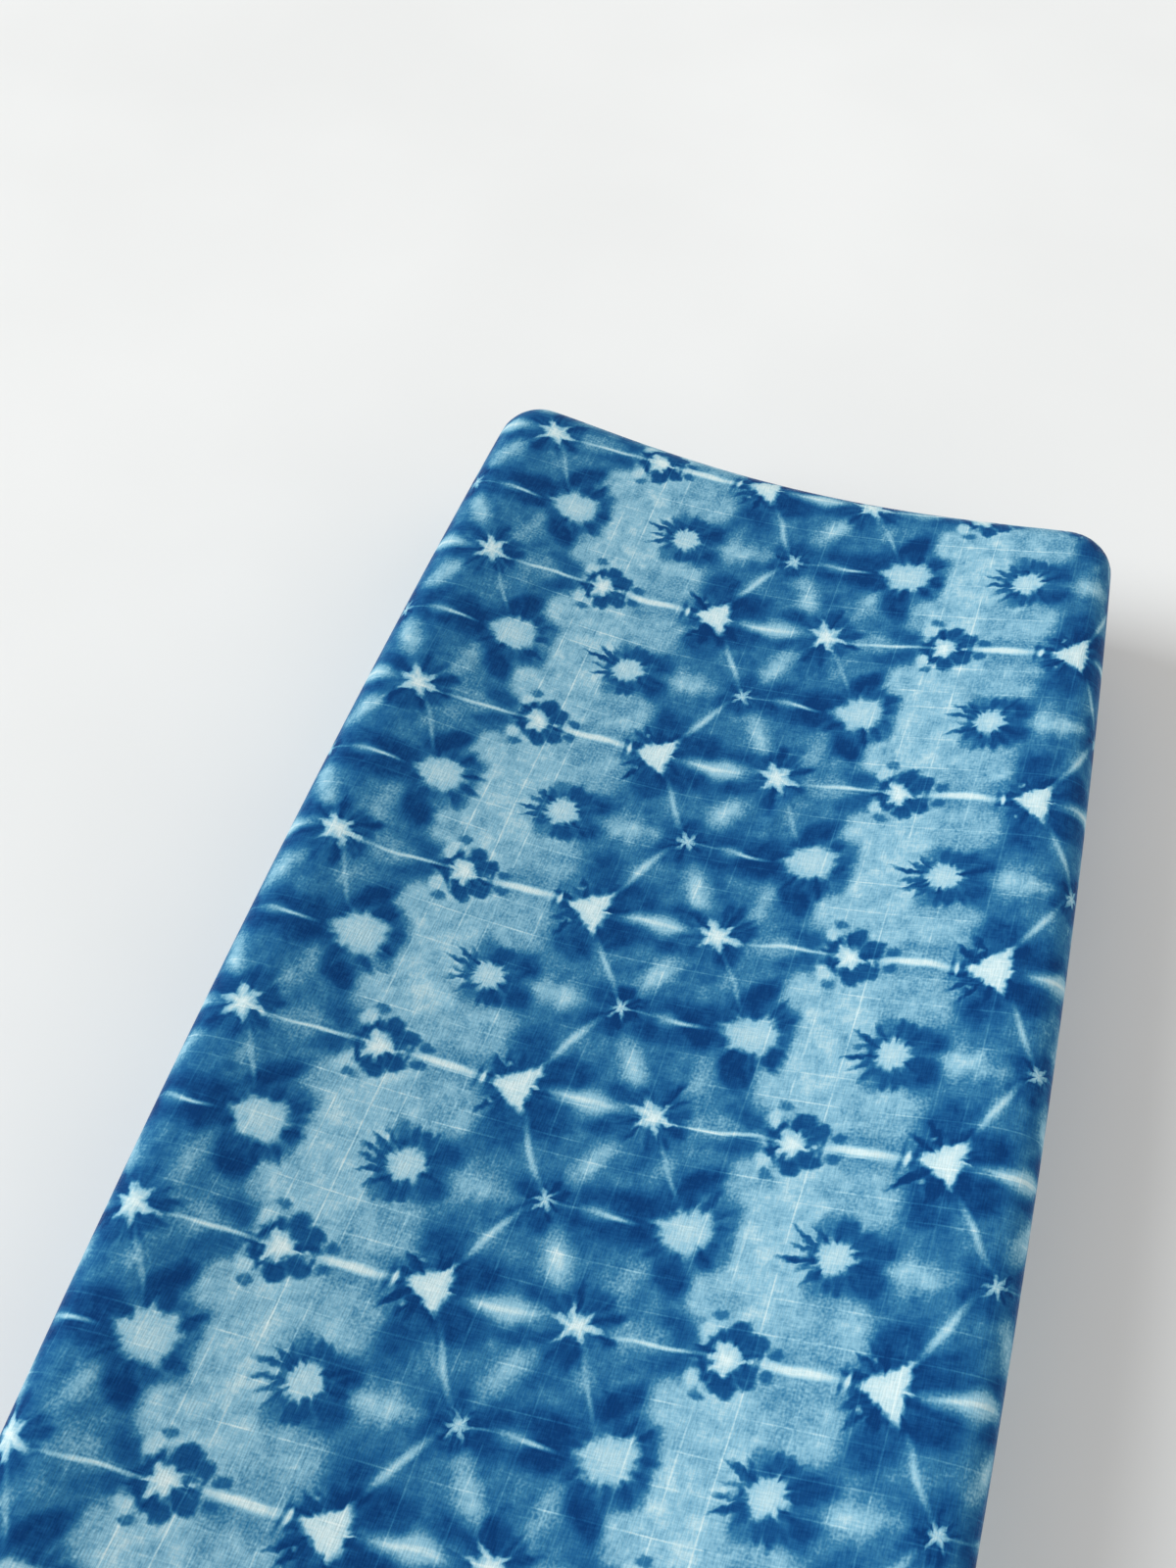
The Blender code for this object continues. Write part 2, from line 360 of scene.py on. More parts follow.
# Roughness of the cloth, how the grain moves it, and the relief of the weave
CLOTH_ROUGHNESS = 0.86
GRAIN_ROUGHNESS = 0.15
WEAVE_NOISE = (95.0, 14.0, 0.0)
WEAVE_BUMP = {"Strength": 0.5, "Distance": 0.0004}
PEBBLE_BUMP = {"Strength": 0.5, "Distance": 0.0003}
CLOTH_GLOSS = {"Specular IOR Level": 0.10, "Sheen Weight": 0.35, "Sheen Roughness": 0.22}

# The blue at each tone, in the display's 0 to 255
BLUES = (
    (0.00, (212, 227, 228)),
    (0.12, (184, 211, 218)),
    (0.28, (135, 182, 203)),
    (0.42, (96, 150, 178)),
    (0.58, (52, 117, 156)),
    (0.74, (25, 90, 139)),
    (0.88, (10, 70, 123)),
    (1.00, (1, 54, 107)),
)


def smoothstep(low, high, value):
    share = np.clip((value - low) / (high - low), 0.0, 1.0)
    return share * share * (3 - 2 * share)


def half_width(y):
    """Half the pad's width at y: it bows a little between its drawn-in corners."""
    along = np.minimum(np.abs(y) / HALF_LENGTH, 1.0)
    return HALF_WIDTH - SIDE_BOW * along * along


def top_level(x, y):
    """Height of the pad's top at a place, crests and trough together."""
    ease = np.clip((np.abs(y) - (HALF_LENGTH - END_EASE_LENGTH)) / END_EASE_LENGTH, 0.0, 1.0) ** 2
    depth = TROUGH_DEPTH * (1 - ease * (1 - END_DEPTH_SHARE))
    across = np.minimum(np.abs(x) / (half_width(y) - CREST_INSET), 1.0)
    return CREST_LEVEL - depth * (1 - across * across) ** TROUGH_POWER


class Outline:
    """Stations round the pad: near end, right side, far end and left side, each from the middle
    of one corner to the middle of the next."""

    DIRECTIONS = ((1, 0), (0, 1), (-1, 0), (0, -1))
    NORMALS = ((0, -1), (1, 0), (0, 1), (-1, 0))

    def __init__(self, end_cells, side_cells, half_corner_cells):
        self.cells = []
        for straight in (end_cells, side_cells, end_cells, side_cells):
            self.cells.append(straight + 2 * half_corner_cells)
        self.straights = (end_cells, side_cells, end_cells, side_cells)
        self.corner_cells = half_corner_cells
        self.starts = np.concatenate([[0], np.cumsum(self.cells)])[:4]
        self.count = sum(self.cells)

    def turns(self, edge):
        """Along one edge: the corner angle at each station and the share of the straight."""
        q = np.arange(self.corner_cells + 1) / self.corner_cells
        corner = pi / 4 * (1 - (1 - q) ** CORNER_CLUSTER)
        straight = np.linspace(-1, 1, self.straights[edge] + 1)
        angle = np.concatenate([-corner[::-1], np.zeros(len(straight) - 2), corner])
        share = np.concatenate([-np.ones(len(q) - 1), straight, np.ones(len(q) - 1)])
        return angle, share

    def sizes(self, edge, inset):
        """Half the edge's length and its distance from the middle."""
        if edge % 2:
            return HALF_LENGTH - inset, HALF_WIDTH - inset
        return HALF_WIDTH - inset, HALF_LENGTH - inset

    def edge_points(self, edge, inset, radius):
        """Plan points of one edge, both its ends included, and the way out at each."""
        angle, share = self.turns(edge)
        long, wide = self.sizes(edge, inset)
        along = share * (long - radius) + radius * np.sin(angle)
        out = wide - radius + radius * np.cos(angle)
        direction = np.array(self.DIRECTIONS[edge])
        normal = np.array(self.NORMALS[edge])
        points = along[:, None] * direction + out[:, None] * normal
        ways = np.sin(angle)[:, None] * direction + np.cos(angle)[:, None] * normal
        return bowed(points), ways

    def ring(self, inset, radius):
        """Plan points of the whole ring, each once."""
        return np.concatenate([self.edge_points(edge, inset, radius)[0][:-1] for edge in range(4)])


def bowed(points):
    """Plan points with the long sides' bow put in."""
    scale = half_width(points[:, 1]) / HALF_WIDTH
    return np.stack([points[:, 0] * scale, points[:, 1]], axis=1)


def wall_rows(offset, arc_rows, wall_cells, base_rows):
    """Rows from the crest down to the base: inset, share of the straight wall and lift."""
    rows = []
    top_radius = TOP_EDGE_RADIUS + offset
    for k in range(arc_rows + 1):
        angle = pi / 2 * (1 - k / arc_rows)
        rows.append((TOP_EDGE_RADIUS - top_radius * cos(angle), 1.0, top_radius * sin(angle)))
    for k in range(1, wall_cells):
        share = 1 - k / wall_cells
        rows.append((-offset - WALL_BULGE * sin(pi * share), share, 0.0))
    base_radius = BASE_EDGE_RADIUS + offset
    for k in range(base_rows + 1):
        angle = pi / 2 * (1 - k / base_rows)
        rows.append((BASE_EDGE_RADIUS - base_radius * sin(angle), 0.0, -base_radius * cos(angle)))
    return rows


def wall_rings(outline, rows):
    """The wall rows as rings of points in space."""
    foot = BASE_LEVEL + BASE_EDGE_RADIUS
    crest = outline.ring(TOP_EDGE_RADIUS, CORNER_RADIUS - TOP_EDGE_RADIUS)
    head = top_level(crest[:, 0], crest[:, 1]) - TOP_EDGE_RADIUS
    rings = []
    for inset, share, lift in rows:
        plan = outline.ring(inset, CORNER_RADIUS - inset)
        rings.append(np.column_stack([plan, foot + share * (head - foot) + lift]))
    return rings


def spread(near, right, far, left):
    """Plan points spread evenly between four boundary edges that run the same ways."""
    u = np.linspace(0, 1, len(near))[:, None, None]
    v = np.linspace(0, 1, len(right))[None, :, None]
    ruled = (1 - v) * near[:, None] + v * far[:, None] + (1 - u) * left[None] + u * right[None]
    corners = (1 - u) * (1 - v) * near[0] + u * (1 - v) * near[-1] + (1 - u) * v * far[0] + u * v * far[-1]
    return ruled - corners


def top_grid(outline, offset):
    """Points of the top, spread between its four boundary edges."""
    inner = CORNER_RADIUS - TOP_EDGE_RADIUS
    near, right, far, left = (outline.edge_points(edge, TOP_EDGE_RADIUS, inner)[0] for edge in range(4))
    plan = spread(near, right, far[::-1], left[::-1])
    level = top_level(plan[..., 0], plan[..., 1]) + offset
    return np.concatenate([plan, level[..., None]], axis=2)


def boundary_index(nx, ny):
    """Flat indices of a grid's boundary, anticlockwise from its first point, each once."""
    index = np.arange((nx + 1) * (ny + 1)).reshape(nx + 1, ny + 1)
    return np.concatenate([index[:-1, 0], index[-1, :-1], index[:0:-1, -1], index[0, :0:-1]])


def grid_faces(nx, ny):
    index = np.arange((nx + 1) * (ny + 1)).reshape(nx + 1, ny + 1)
    quads = np.stack([index[:-1, :-1], index[1:, :-1], index[1:, 1:], index[:-1, 1:]], axis=2)
    return quads.reshape(-1, 4)


def band_faces(upper, lower):
    """Quads between a ring and the one below it, facing out."""
    following = np.roll(np.arange(len(upper)), -1)
    return np.stack([lower, lower[following], upper[following], upper], axis=1)


def make_piece(name, points, faces, maps, tones, material):
    """A smooth mesh object with its UV maps and named tones, one value a face corner."""
    data = bpy.data.meshes.new(name)
    data.from_pydata(points.tolist(), [], faces.tolist())
    for title, values in maps.items():
        layer = data.uv_layers.new(name=title)
        layer.data.foreach_set("uv", values.astype(np.float32).ravel())
    for title, values in tones.items():
        layer = data.attributes.new(title, "FLOAT", "CORNER")
        layer.data.foreach_set("value", values.astype(np.float32).ravel())
    data.materials.append(material)
    data.shade_smooth()
    made = bpy.data.objects.new(name, data)
    bpy.context.scene.collection.objects.link(made)
    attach(made, "root")
    return made


def chart_place(plan):
    """Plan points in metres to the chart's steps: across the cloth and away along it."""
    east = plan[..., 0] / STEP
    north = (plan[..., 1] - ROW_THREE_Y) / STEP
    turn = np.array(
        [
            [cos(CLOTH_TURN), -sin(CLOTH_TURN) + CLOTH_SHEAR],
            [sin(CLOTH_TURN), cos(CLOTH_TURN)],
        ]
    )
    back = np.linalg.inv(turn)
    across = back[0, 0] * east + back[0, 1] * north
    away = back[1, 0] * east + back[1, 1] * north
    return np.stack([across + CLOTH_MIDDLE - CLOTH_SHIFT, away], axis=-1)


def under_rows():
    """Rows under the base, from its rounded edge in to the hem: inset and height. The last ones
    roll over and run back, as the turned edge of the elastic's casing."""
    roll_inset = HEM_REACH - ROLL_RADIUS
    rows = []
    for k in range(1, UNDER_ROWS + 1):
        share = k / UNDER_ROWS
        rows.append((BASE_EDGE_RADIUS + share * (roll_inset - BASE_EDGE_RADIUS), FLOOR_CLEAR))
    for angle in (-45, 0, 45, 90):
        turned = radians(angle)
        rows.append((roll_inset + ROLL_RADIUS * cos(turned), FLOOR_CLEAR + ROLL_RADIUS * (1 + sin(turned))))
    for share in (0.5, 1.0):
        rows.append((roll_inset - share * CASING_WIDTH, FLOOR_CLEAR + 2 * ROLL_RADIUS))
    return rows


def under_rings(outline):
    rings = []
    for inset, level in under_rows():
        share = (inset - BASE_EDGE_RADIUS) / (HEM_REACH - BASE_EDGE_RADIUS)
        radius = (1 - share) * (CORNER_RADIUS - BASE_EDGE_RADIUS) + share * HEM_CORNER_RADIUS
        plan = outline.ring(inset, radius)
        rings.append(np.column_stack([plan, np.full(outline.count, level)]))
    return rings


def crease_relief(plan):
    """How far the listed creases lift or sink the top at plan points."""
    places = chart_place(plan)
    relief = np.zeros(plan.shape[:-1])
    for crease in CREASES:
        row = dict(zip(CREASE_COLUMNS.split(), crease))
        start = np.array([row["across"], row["away"]])
        way = np.array([row["to_across"], row["to_away"]]) - start
        length = np.hypot(*way)
        along = ((places - start) @ way) / length**2
        beside = ((places - start) @ [-way[1], way[0]]) / length * STEP
        bend = CREASE_BEND * row["half_width"] * np.sin(2.5 * pi * along + 9.0 * row["across"])
        fading = smoothstep(*CREASE_START, along) * (1 - smoothstep(*CREASE_END, along))
        relief += row["height"] * fading * np.exp(-(((beside + bend) / row["half_width"]) ** 2))
    return relief


def uneven_waves(turn, waves):
    """A sum of waves round the pad, from about -1 to 1, at shares of the full turn."""
    total = sum(weight for _, _, weight in waves)
    return sum(weight * np.sin(2 * pi * count * turn + phase) for count, phase, weight in waves) / total


class Round:
    """Distances round the walls: along the ring, to the nearest corner's seam, and the way out."""

    def __init__(self, outline):
        ring = outline.ring(-SHEET_OFFSET, CORNER_RADIUS + SHEET_OFFSET)
        steps = np.linalg.norm(np.roll(ring, -1, axis=0) - ring, axis=1)
        self.closed = np.concatenate([[0.0], np.cumsum(steps)])
        self.turn = self.closed[:-1] / self.closed[-1]
        seams = np.append(self.closed[outline.starts], self.closed[-1])
        self.seam = np.abs(self.closed[:, None] - seams[None, :]).min(axis=1)
        ways = [outline.edge_points(edge, 0.0, CORNER_RADIUS)[1][:-1] for edge in range(4)]
        self.ways = np.concatenate(ways)


def wall_relief(around, run, drop):
    """How far a ring of the wall is moved out, at a run and a share of the drop below the crest."""
    seam = around.seam[:-1]
    sewn = smoothstep(SEAM_TOP, SEAM_FULL, run)
    groove = -SEAM_GROOVE * np.exp(-((seam / SEAM_HALF_WIDTH) ** 2)) * sewn
    waves = uneven_waves(around.turn, WALL_WAVES)
    near_seam = np.exp(-((seam / PUCKER_REACH) ** 2))
    pucker = PUCKER_LIFT * near_seam * np.sin(2 * pi * run / PUCKER_PITCH + PUCKER_DRIFT * waves)
    near_corner = np.exp(-((seam / CORNER_FOLD_REACH) ** 2))
    slack = smoothstep(WALL_FOLD_START, 1.0, drop) * (WALL_FOLD_SHARE + near_corner)
    fold = WALL_FOLD * slack * waves
    return groove + sewn * pucker + fold


def relieved(rings, runs, around):
    """The rings with the walls' seams and folds and the hem's gathers put in."""
    wall_count = TOP_ARC_ROWS + WALL_CELLS - 1 + BASE_ARC_ROWS
    last_run = runs[wall_count - 1].mean()
    gathers = uneven_waves(around.turn, HEM_WAVES)
    made = []
    for index, (ring, run) in enumerate(zip(rings, runs)):
        moved = ring.copy()
        if index < wall_count:
            drop = index / wall_count
            fade_under = 1 - smoothstep(0.90, 1.0, drop)
            moved[:, :2] += (fade_under * wall_relief(around, run, drop))[:, None] * around.ways
        else:
            share = smoothstep(*GATHER_RISE, (run - last_run) / HEM_REACH)
            moved[:, 2] += HEM_LIFT * share * (1 + gathers) / 2
            moved[:, :2] -= (HEM_DRAW * share * gathers)[:, None] * around.ways
        made.append(moved)
    return made


def band_values(lower, upper):
    """Values of a band's face corners from those of its two rings, each closed by its end value."""
    return np.stack([lower[:-1], lower[1:], upper[1:], upper[:-1]], axis=1)


def pairs(first, second):
    return np.stack([first, second], axis=-1)


def build_cover(material):
    outline = Outline(END_CELLS, SIDE_CELLS, HALF_CORNER_CELLS)
    around = Round(outline)
    top = top_grid(outline, SHEET_OFFSET)
    top[..., 2] += crease_relief(top[..., :2])
    nx, ny = top.shape[0] - 1, top.shape[1] - 1
    rows = wall_rows(SHEET_OFFSET, TOP_ARC_ROWS, WALL_CELLS, BASE_ARC_ROWS)
    rings = wall_rings(outline, rows)[1:] + under_rings(outline)
    upper = boundary_index(nx, ny)
    crest = top.reshape(-1, 3)[upper]
    lengths = [np.linalg.norm(b - a, axis=1) for a, b in zip([crest] + rings, rings)]
    runs = np.cumsum([np.zeros(outline.count)] + lengths, axis=0)
    hem_run = runs[-3]
    points = np.concatenate([top.reshape(-1, 3)] + relieved(rings, runs[1:], around))

    faces = [grid_faces(nx, ny)]
    flat_corners = faces[0].shape
    charts = [chart_place(points[faces[0]][..., :2])]
    hems = [pairs(np.zeros(flat_corners), np.ones(flat_corners))]
    seams = [pairs(np.ones(flat_corners), np.zeros(flat_corners))]
    start = top.shape[0] * top.shape[1]
    for above, below in zip(runs, runs[1:]):
        lower = np.arange(start, start + outline.count)
        faces.append(band_faces(upper, lower))
        charts.append(wall_map(outline, above, below))
        rims = [np.append(hem_run - run, (hem_run - run)[0]) for run in (below, above)]
        hems.append(pairs(band_values(around.closed, around.closed), band_values(*rims)))
        drops = [np.append(run, run[0]) for run in (below, above)]
        seams.append(pairs(band_values(around.seam, around.seam), band_values(*drops)))
        upper = lower
        start += outline.count
    places = np.concatenate(charts)
    made = make_piece(
        "cover_cloth",
        points,
        np.concatenate(faces),
        {"chart": places, "hem": np.concatenate(hems), "seam": np.concatenate(seams)},
        {"dye_ground": ground_tone(places)},
        material,
    )
    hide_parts("cover")
    return made


def build_pad(material):
    """The foam block in its wipe-clean skin, which shows inside the hem's opening."""
    outline = Outline(PAD_END_CELLS, PAD_SIDE_CELLS, 3)
    top = top_grid(outline, 0.0)
    nx, ny = top.shape[0] - 1, top.shape[1] - 1
    rings = wall_rings(outline, wall_rows(0.0, 3, 6, 3))[1:]
    count = len(rings)
    base = base_grid(outline)
    points = np.concatenate([top.reshape(-1, 3)] + rings[:-1] + [base.reshape(-1, 3)])
    faces = [grid_faces(nx, ny)]
    upper = boundary_index(nx, ny)
    start = top.shape[0] * top.shape[1]
    for k in range(count):
        lower = np.arange(start, start + outline.count)
        if k == count - 1:
            lower = start + boundary_index(nx, ny)
        faces.append(band_faces(upper, lower))
        upper = lower
        start += outline.count
    start -= outline.count
    faces.append(start + grid_faces(nx, ny)[:, ::-1])
    faces = np.concatenate(faces)
    made = make_piece("pad_body", points, faces, {"skin": points[faces][..., :2]}, {}, material)
    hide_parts("pad")
    return made


def base_grid(outline):
    """Points of the flat base, spread between its boundary as the top is."""
    inner = CORNER_RADIUS - BASE_EDGE_RADIUS
    near, right, far, left = (outline.edge_points(edge, BASE_EDGE_RADIUS, inner)[0] for edge in range(4))
    plan = spread(near, right, far[::-1], left[::-1])
    return np.concatenate([plan, np.full(plan.shape[:2] + (1,), BASE_LEVEL)], axis=2)


def wall_map(outline, upper_run, lower_run):
    """The chart place of each face corner in one band of the walls."""
    values = []
    inner = CORNER_RADIUS - TOP_EDGE_RADIUS
    outer = CORNER_RADIUS + CLOTH
    for edge in range(4):
        crest, ways = outline.edge_points(edge, TOP_EDGE_RADIUS, inner)
        angle, share = outline.turns(edge)
        long, wide = outline.sizes(edge, TOP_EDGE_RADIUS)
        direction = np.array(outline.DIRECTIONS[edge])
        normal = np.array(outline.NORMALS[edge])
        unrolled = share * (long - inner) + outer * angle
        flat_crest = unrolled[:, None] * direction + wide * normal
        stations = (outline.starts[edge] + np.arange(len(angle))) % outline.count
        places = []
        for run in (upper_run[stations], lower_run[stations]):
            blend = smoothstep(0.0, 0.03, run)[:, None]
            plan = (1 - blend) * (crest + run[:, None] * ways)
            plan = plan + blend * (flat_crest + run[:, None] * normal)
            places.append(chart_place(plan))
        above, below = places
        values.append(np.stack([below[:-1], below[1:], above[1:], above[:-1]], axis=1))
    return np.concatenate(values)


# A mix node's sockets for vectors
MIX_FIRST = 4
MIX_SECOND = 5
MIX_RESULT = 1


class Painter:
    """Adds nodes to a new material in the order in which they are worked out."""

    def __init__(self, name):
        self.material = bpy.data.materials.new(name)
        self.material.use_nodes = True
        self.tree = self.material.node_tree
        self.shader = self.tree.nodes["Principled BSDF"]

    def add(self, kind, settings, inputs):
        """A node with its settings and inputs; an input is a number, a vector or another's output."""
        node = self.tree.nodes.new(kind)
        for name, value in settings.items():
            setattr(node, name, value)
        for name, value in inputs.items():
            self.put(node.inputs[name], value)
        return node

    def put(self, socket, value):
        if isinstance(value, bpy.types.NodeSocket):
            self.tree.links.new(value, socket)
        else:
            socket.default_value = value

    def maths(self, operation, *values):
        inputs = dict(enumerate(values))
        return self.add("ShaderNodeMath", {"operation": operation}, inputs).outputs["Value"]

    def vector_maths(self, operation, *values):
        inputs = dict(enumerate(values))
        return self.add("ShaderNodeVectorMath", {"operation": operation}, inputs).outputs["Vector"]

    def length(self, vector):
        settings = {"operation": "LENGTH"}
        return self.add("ShaderNodeVectorMath", settings, {0: vector}).outputs["Value"]

    def split(self, vector, count=2):
        node = self.add("ShaderNodeSeparateXYZ", {}, {"Vector": vector})
        return [node.outputs[axis] for axis in "XYZ"[:count]]

    def join(self, x, y):
        return self.add("ShaderNodeCombineXYZ", {}, {"X": x, "Y": y}).outputs["Vector"]

    def fade(self, value, start, end, first=0.0, last=1.0):
        """A soft step from the first amount at the start to the last at the end."""
        inputs = {"Value": value, "From Min": start, "From Max": end, "To Min": first, "To Max": last}
        settings = {"interpolation_type": "SMOOTHSTEP"}
        return self.add("ShaderNodeMapRange", settings, inputs).outputs["Result"]

    def mix(self, share, low, high):
        inputs = {"Factor": share, "A": low, "B": high}
        return self.add("ShaderNodeMix", {"data_type": "FLOAT"}, inputs).outputs["Result"]

    def pick(self, passed, choices):
        """The last of the vectors whose step has been passed; the first one has no step."""
        chosen = choices[0]
        for step, choice in zip(passed, choices[1:]):
            inputs = {"Factor": step, MIX_FIRST: chosen, MIX_SECOND: choice}
            node = self.add("ShaderNodeMix", {"data_type": "VECTOR"}, inputs)
            chosen = node.outputs[MIX_RESULT]
        return chosen

    def dot(self, first, second):
        settings = {"operation": "DOT_PRODUCT"}
        return self.add("ShaderNodeVectorMath", settings, {0: first, 1: second}).outputs["Value"]

    def local(self, place, centre, turn=0.0, sizes=(1.0, 1.0)):
        """A place measured from a centre, turned back and in units of the sizes."""
        (x, y), (wide, high) = centre, sizes
        if turn == 0.0:
            scale = (1 / wide, 1 / high, 0.0)
            return self.vector_maths("MULTIPLY_ADD", place, scale, (-x / wide, -y / high, 0.0))
        away = self.vector_maths("SUBTRACT", place, (x, y, 0.0))
        along = self.dot(away, (cos(turn) / wide, sin(turn) / wide, 0.0))
        beside = self.dot(away, (-sin(turn) / high, cos(turn) / high, 0.0))
        return self.join(along, beside)

    def noise(self, place, scale, detail=2.0, roughness=0.5):
        inputs = {"Vector": place, "Scale": scale, "Detail": detail, "Roughness": roughness}
        return self.add("ShaderNodeTexNoise", {"noise_dimensions": "2D"}, inputs)

    def ramp(self, value, stops):
        """Colours, each a place and three values, as one ramp."""
        node = self.add("ShaderNodeValToRGB", {}, {"Fac": value})
        elements = node.color_ramp.elements
        while len(elements) < len(stops):
            elements.new(1.0)
        for element, (place, colour) in zip(elements, stops):
            element.position = place
            element.color = (*colour, 1.0)
        return node.outputs["Color"]

    def finish(self, colour, roughness, height, relief):
        """Joins a colour, a roughness and a relief of this strength and distance to the shader."""
        bump = self.add("ShaderNodeBump", {}, {**relief, "Height": height}).outputs["Normal"]
        found = {"Base Color": colour, "Roughness": roughness, "Normal": bump}
        for name, value in found.items():
            self.put(self.shader.inputs[name], value)


def linear(colour):
    """A display colour, 0 to 255, as linear values."""
    shares = [value / 255 for value in colour]
    return [v / 12.92 if v <= 0.04045 else ((v + 0.055) / 1.055) ** 2.4 for v in shares]


def ground_tone(places):
    """The broad areas' tone at chart places, for the mesh to carry."""
    across = places[..., 0] + 0.025 * np.sin(1.9 * places[..., 1] + 0.8 * places[..., 0])
    away = places[..., 1] + 0.025 * np.sin(2.3 * places[..., 0] - 0.7 * places[..., 1] + 1.1)
    on_row = (away + HALF_ROW) % ROW_PITCH - HALF_ROW
    ways = {
        "mirrored": np.abs(on_row),
        "on_row": on_row,
        "between": away % ROW_PITCH - HALF_ROW,
    }
    tone = np.full(places.shape[:-1], GROUND_TONE)
    for stroke in GROUND:
        row = dict(zip(STROKE_COLUMNS.split(), stroke))
        x = (across - row["across"] + REPEAT / 2) % REPEAT - REPEAT / 2
        y = ways[row["lies"]] - row["away"]
        turn = radians(row["turn"])
        along = (x * cos(turn) + y * sin(turn)) / row["half_length"]
        beside = (y * cos(turn) - x * sin(turn)) / row["half_width"]
        reach = np.hypot(along, beside)
        cover = row["strength"] * (1 - smoothstep(1 - row["softness"], 1 + row["softness"], reach))
        tone += cover * (row["tone"] - tone)
    return tone


def copies(across, reach):
    """Where a mark at this place across shows in the window on the repeat."""
    places = [across + shift for shift in (-REPEAT, 0.0, REPEAT)]
    first, last = WINDOW_START - reach, WINDOW_START + REPEAT + reach
    return [place for place in places if first < place < last]


def paint_stroke(painter, tone, places, stroke):
    """Lays one soft stroke of dye or resist over the tone."""
    row = dict(zip(STROKE_COLUMNS.split(), stroke))
    soft = row["softness"]
    reach = max(row["half_length"], row["half_width"]) * (1 + soft)
    for across in copies(row["across"], reach):
        sizes = (row["half_length"], row["half_width"])
        local = painter.local(places[row["lies"]], (across, row["away"]), radians(row["turn"]), sizes)
        cover = painter.fade(painter.length(local), 1 - soft, 1 + soft, row["strength"], 0.0)
        tone = painter.mix(cover, tone, row["tone"])
    return tone


def closed_stops(rows):
    """A motif's reaches as ramp stops over a full turn, joined at its start."""
    table = sorted((angle % 360, middle, ring) for angle, middle, ring in rows)
    before = (table[-1][0] - 360, *table[-1][1:])
    after = (table[0][0] + 360, *table[0][1:])
    angles = [row[0] for row in [before, *table, after]]
    joined = [float(np.interp(0, angles, [row[k] for row in [before, *table, after]])) for k in (1, 2)]
    if table[0][0] > 0:
        table.insert(0, (0, *joined))
    table.append((360, *joined))
    return [(angle / 360, (middle, ring, 0.0)) for angle, middle, ring in table]


def paint_motifs(painter, tone, place, chart, first, motifs):
    """Lays motifs a step apart: pleated dark rings and undyed middles, whose reaches change with
    the angle."""
    across, y = painter.split(place)
    cell = painter.maths("WRAP", painter.maths("SUBTRACT", across, first - 0.5), REPEAT, 0.0)
    x = painter.maths("SUBTRACT", painter.maths("FRACT", cell), 0.5)
    local = painter.join(x, y)
    turn = painter.maths("DIVIDE", painter.maths("ARCTAN2", y, x), 2 * pi)
    turn = painter.maths("WRAP", turn, 1.0, 0.0)
    passed = [painter.maths("GREATER_THAN", cell, number) for number in range(1, len(motifs))]
    tones = painter.pick(passed, [tones for tones, rows in motifs])
    reaches = painter.pick(passed, [painter.ramp(turn, closed_stops(rows)) for tones, rows in motifs])
    middle, ring = painter.split(reaches)
    ring_tone, middle_tone, edge_tone = painter.split(tones, 3)
    away_from = painter.length(local)
    way = painter.add("ShaderNodeVectorMath", {"operation": "NORMALIZE"}, {0: local}).outputs["Vector"]
    spot = painter.vector_maths("MULTIPLY", chart, (PLEAT_CHANGE, PLEAT_CHANGE, 0.0))
    spot = painter.vector_maths("MULTIPLY_ADD", way, (PLEAT_COUNT, PLEAT_COUNT, 0.0), spot)
    pleat = painter.maths("SUBTRACT", painter.noise(spot, 1.0, PLEAT_DETAIL).outputs["Fac"], 0.5)
    ring = painter.maths("MULTIPLY", ring, painter.maths("MULTIPLY_ADD", pleat, PLEAT_REACH, 1.0))
    cover = painter.fade(painter.maths("DIVIDE", away_from, ring), *RING_FADE)
    tone = painter.mix(cover, tone, painter.maths("MULTIPLY_ADD", pleat, PLEAT_TONE, ring_tone))
    middle = painter.maths("MULTIPLY", middle, painter.maths("MULTIPLY_ADD", pleat, MIDDLE_CHANGE, 1.0))
    share = painter.maths("DIVIDE", away_from, middle)
    cover = painter.fade(share, *MIDDLE_FADE)
    return painter.mix(cover, tone, painter.fade(share, 0.0, 1.0, middle_tone, edge_tone))


def chart_places(painter, chart):
    """The three ways of lying on the repeat, for given places on the chart."""
    across, away = painter.split(chart)
    across = painter.maths("WRAP", across, WINDOW_START + REPEAT, WINDOW_START)
    on_row = painter.maths("WRAP", away, HALF_ROW, -HALF_ROW)
    between = painter.maths("WRAP", painter.maths("SUBTRACT", away, HALF_ROW), HALF_ROW, -HALF_ROW)
    return {
        "mirrored": painter.join(across, painter.maths("ABSOLUTE", on_row)),
        "on_row": painter.join(across, on_row),
        "between": painter.join(across, between),
    }


def wander(painter, chart, scale, detail, amount):
    """Chart places moved about by up to half the amount, as dye wanders."""
    drift = painter.noise(chart, scale, detail).outputs["Color"]
    moved = painter.vector_maths("MULTIPLY_ADD", drift, (amount, amount, 0.0), chart)
    return painter.vector_maths("SUBTRACT", moved, (amount / 2, amount / 2, 0.0))


